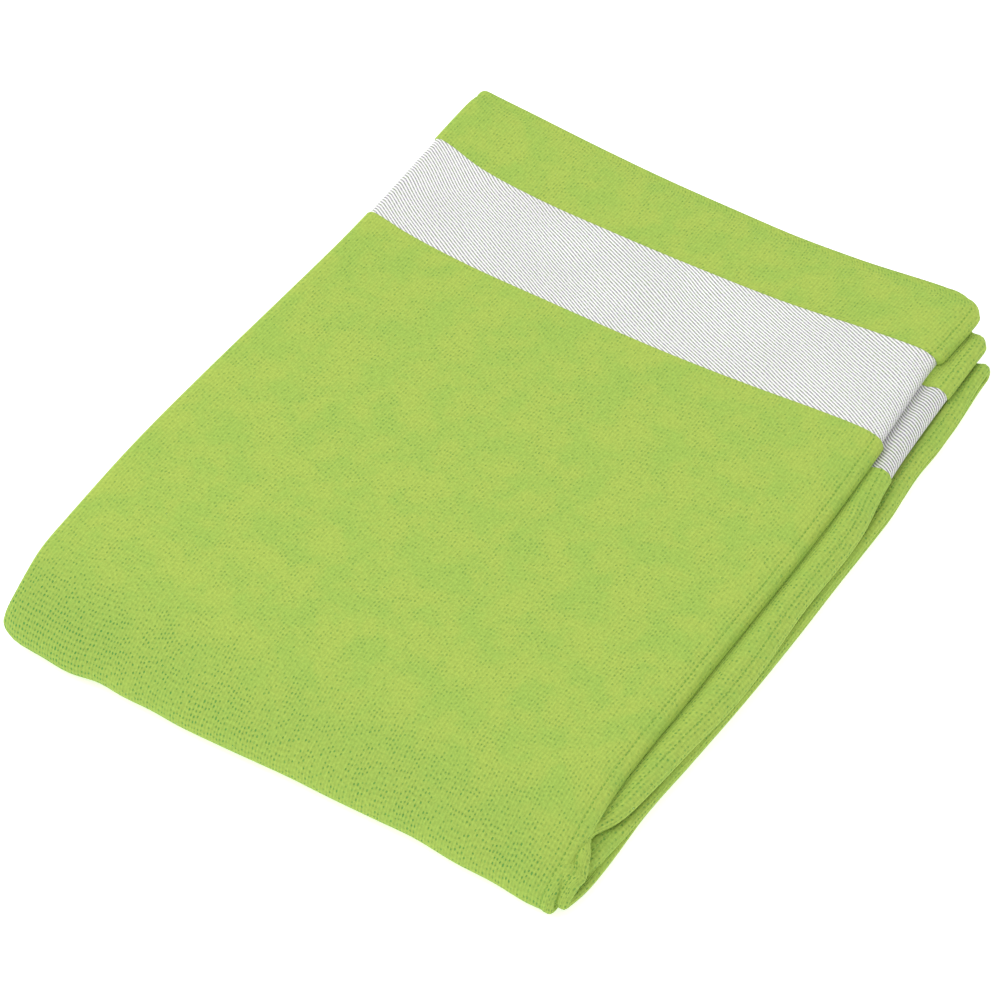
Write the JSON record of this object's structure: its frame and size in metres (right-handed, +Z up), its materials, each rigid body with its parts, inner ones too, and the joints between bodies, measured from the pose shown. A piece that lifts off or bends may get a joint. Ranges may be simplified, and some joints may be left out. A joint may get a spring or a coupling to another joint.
{
  "type": "folded quick dry towel",
  "caption": "Terry towel folded in half along its length and then in thirds, with a woven border band across the top third, which opens about the front fold.",
  "frame": {"origin": "bottom centre of the folded stack, on the surface it lies on", "axes": "+X across the folded towel from the lengthwise fold to the open side, +Y from the front fold to the free end with the band, +Z up"},
  "size_m": [0.2638, 0.3428, 0.0249],
  "materials": {
    "terry": "lime green short-loop terry with fine lengthwise rows",
    "band": "white flat-woven border with slanting twill ribs",
    "hem": "lime green turned hem, flat and without loops",
    "thread": "lime green sewing thread, lock stitch"
  },
  "bodies": {
    "folded_stack": {"bottom_third_cloth": "terry", "middle_third_cloth": "terry", "far_fold_cloth": "terry", "inner_end_hem": "hem", "inner_end_thread": "thread", "stack_side_hem_outer": "hem", "stack_side_hem_inner": "hem", "stack_side_thread_outer": "thread", "stack_side_thread_inner": "thread", "front_fold_cloth": "terry", "front_side_hem_outer": "hem", "front_side_hem_inner": "hem", "front_side_thread_outer": "thread", "front_side_thread_inner": "thread"},
    "top_third": {"top_third_cloth": "terry", "border_band": "band", "end_strip_cloth": "terry", "end_hem": "hem", "end_hem_thread": "thread", "top_side_hem_outer": "hem", "top_side_hem_inner": "hem", "top_side_thread_outer": "thread", "top_side_thread_inner": "thread"}
  },
  "joints": [
    {"name": "top_third_fold", "type": "hinge", "parent": "folded_stack", "child": "top_third", "pos_m": [0, -0.1589, 0.01245], "axis": [1, 0, 0], "range_deg": [0, 180], "deforming": ["front_fold_cloth", "front_side_hem_outer", "front_side_hem_inner", "front_side_thread_outer", "front_side_thread_inner"]}
  ]
}
